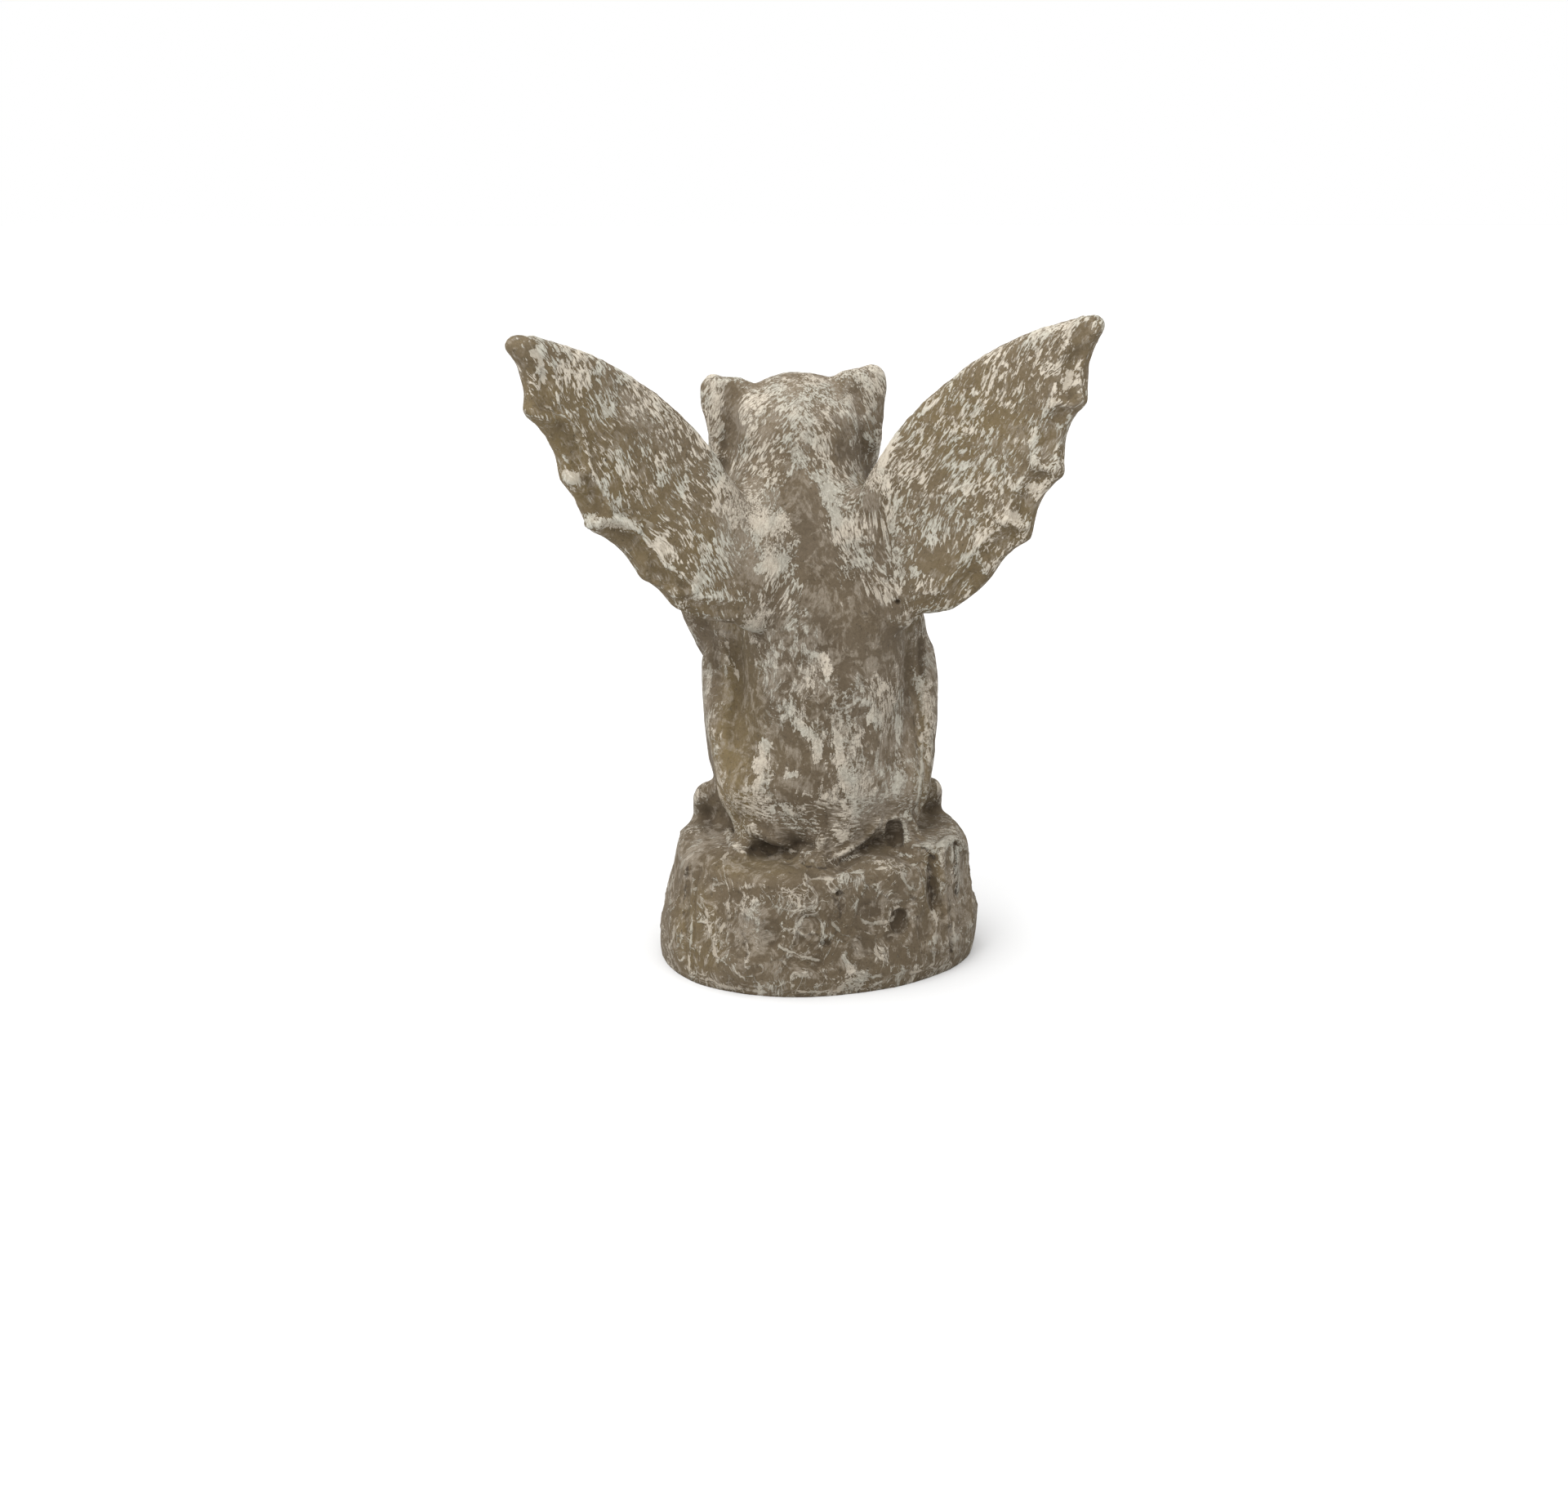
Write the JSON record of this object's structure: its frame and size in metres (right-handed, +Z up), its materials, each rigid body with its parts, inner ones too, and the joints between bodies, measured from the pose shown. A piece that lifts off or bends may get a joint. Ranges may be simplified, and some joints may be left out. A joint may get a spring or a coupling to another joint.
{
  "type": "gargoyle statue",
  "caption": "Cast stone statue of a seated winged beast on a drum of rough rock, for a garden wall, pier or plinth.",
  "frame": {"origin": "centre of the rock's flat underside", "axes": "+Z up, the figure faces -Y with its wings spread towards +X and -X"},
  "size_m": [0.3258, 0.2163, 0.3955],
  "materials": {
    "cast_stone": "weathered cast stone with pale worn paint in its high places"
  },
  "bodies": {
    "root": {"gargoyle": "cast_stone"}
  },
  "joints": []
}
